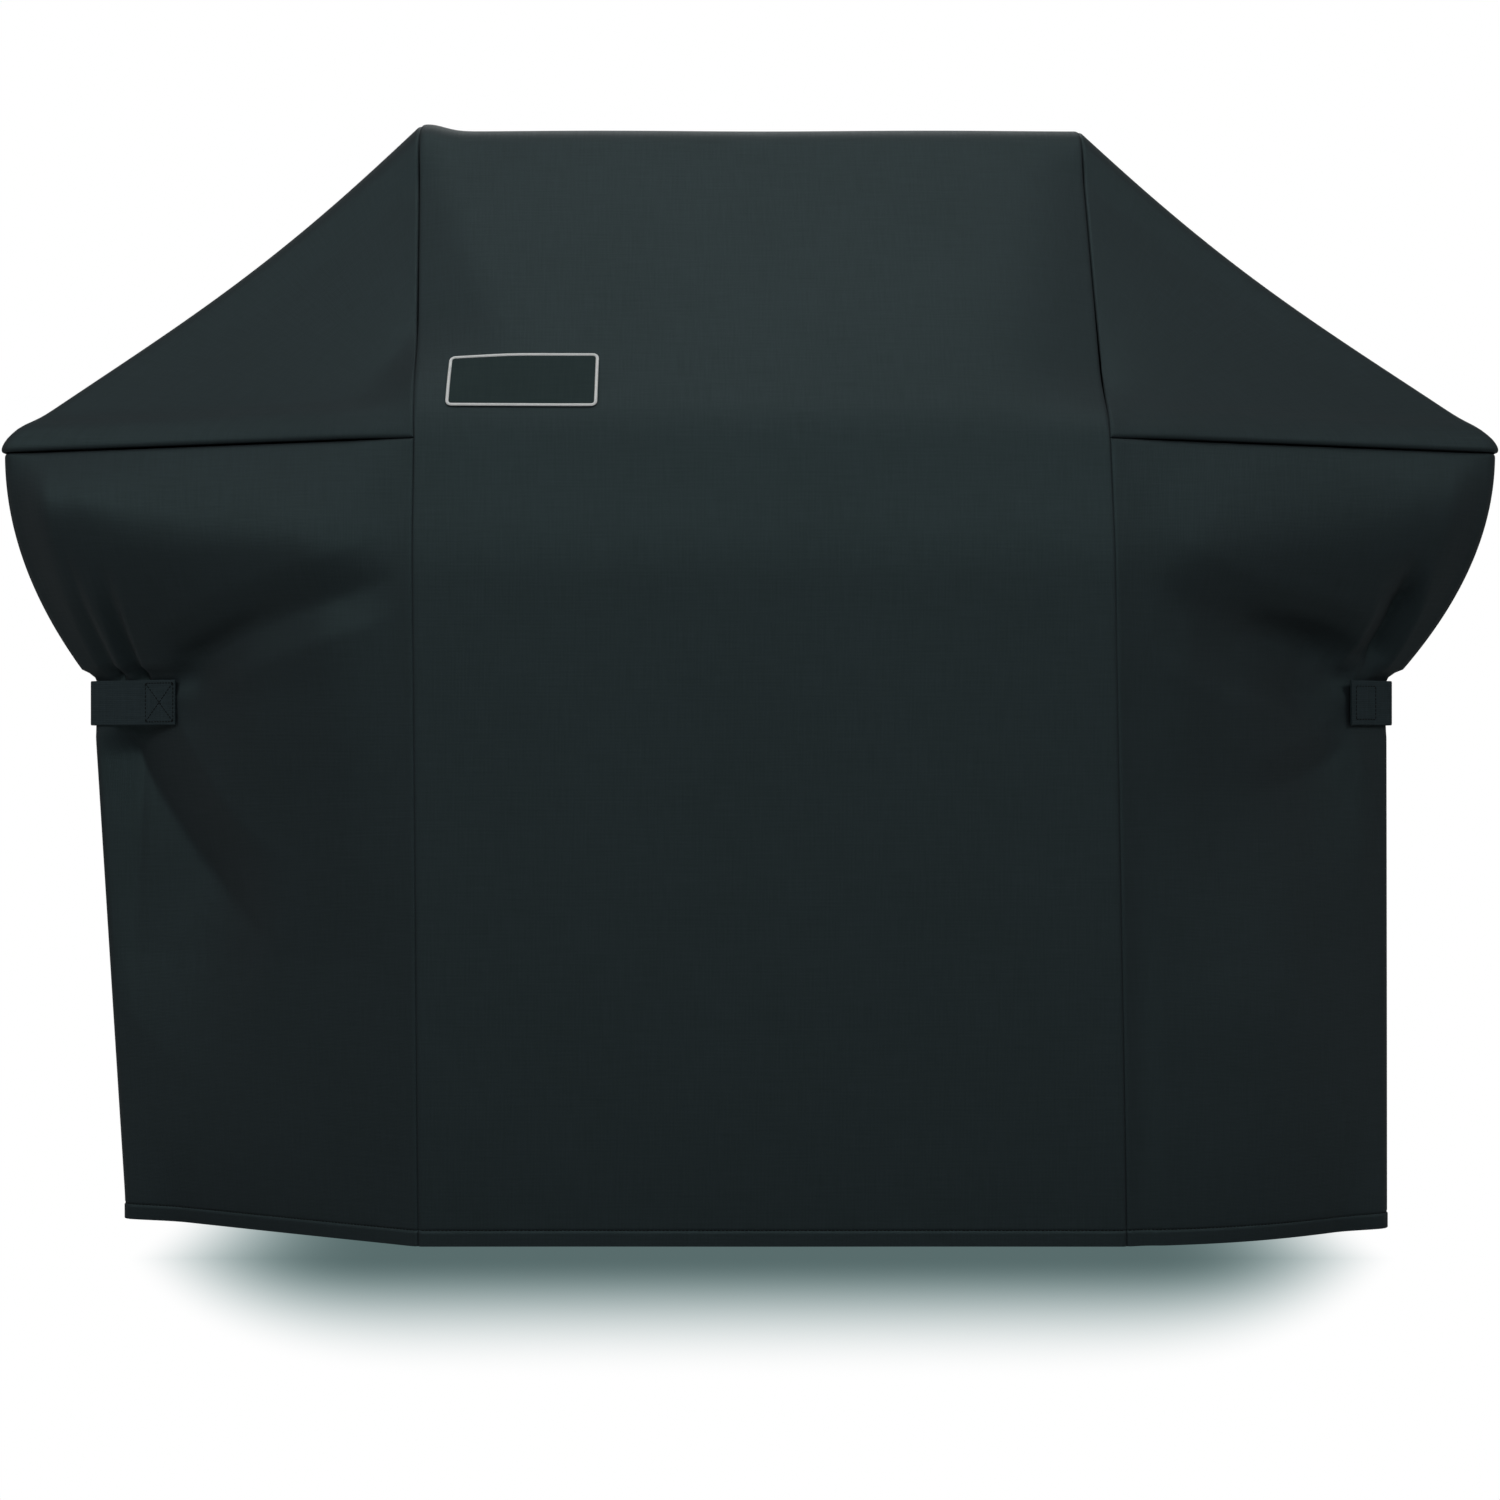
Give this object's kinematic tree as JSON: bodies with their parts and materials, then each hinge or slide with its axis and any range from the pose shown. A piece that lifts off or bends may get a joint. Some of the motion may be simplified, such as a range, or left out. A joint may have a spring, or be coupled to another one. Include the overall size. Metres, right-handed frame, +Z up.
{
  "type": "grill cover",
  "caption": "Fitted cloth cover for a barbecue on a cart: a lid strip, sloping shoulders over the side shelves, and webbing straps with hook and loop that gather each side below its shelf.",
  "frame": {"origin": "middle of the footprint, at the height of the hem", "axes": "+X to the right seen from the front, +Y to the back, +Z up"},
  "size_m": [1.697, 0.678, 1.256],
  "materials": {
    "cloth": "coated woven polyester, matt",
    "binding_tape": "woven tape, matt",
    "webbing": "ribbed webbing, matt",
    "hook_tape": "moulded hooks",
    "loop_tape": "brushed loops",
    "label": "woven patch, bare"
  },
  "bodies": {
    "cover": {"front_panel": "cloth", "back_panel": "cloth", "left_shoulder_panel": "cloth", "right_shoulder_panel": "cloth", "left_end_panel": "cloth", "right_end_panel": "cloth", "front_hem": "binding_tape", "back_hem": "binding_tape", "left_hem": "binding_tape", "right_hem": "binding_tape", "front_left_binding": "binding_tape", "front_right_binding": "binding_tape", "back_left_binding": "binding_tape", "back_right_binding": "binding_tape", "left_shelf_binding": "binding_tape", "right_shelf_binding": "binding_tape", "top_binding": "binding_tape", "left_strap_anchor": "webbing", "right_strap_anchor": "webbing", "left_loop_patch": "loop_tape", "right_loop_patch": "loop_tape", "label_patch": "label"},
    "left_band": {"left_strap_band": "webbing"},
    "left_tail": {"left_strap_tail": "webbing", "left_hook_patch": "hook_tape"},
    "right_band": {"right_strap_band": "webbing"},
    "right_tail": {"right_strap_tail": "webbing", "right_hook_patch": "hook_tape"}
  },
  "joints": [
    {"name": "left_strap_swing", "type": "hinge", "parent": "cover", "child": "left_band", "pos_m": [-0.7623, -0.09894, 0.583], "axis": [0, 0, 1], "range_deg": [0, 90]},
    {"name": "left_tail_peel", "type": "hinge", "parent": "left_band", "child": "left_tail", "pos_m": [-0.7623, 0.10244, 0.583], "axis": [0, 0, 1], "range_deg": [0, 120]},
    {"name": "right_strap_swing", "type": "hinge", "parent": "cover", "child": "right_band", "pos_m": [0.7413, 0.0986, 0.583], "axis": [0, 0, 1], "range_deg": [0, 90]},
    {"name": "right_tail_peel", "type": "hinge", "parent": "right_band", "child": "right_tail", "pos_m": [0.7413, -0.10225, 0.583], "axis": [0, 0, 1], "range_deg": [0, 120]}
  ]
}
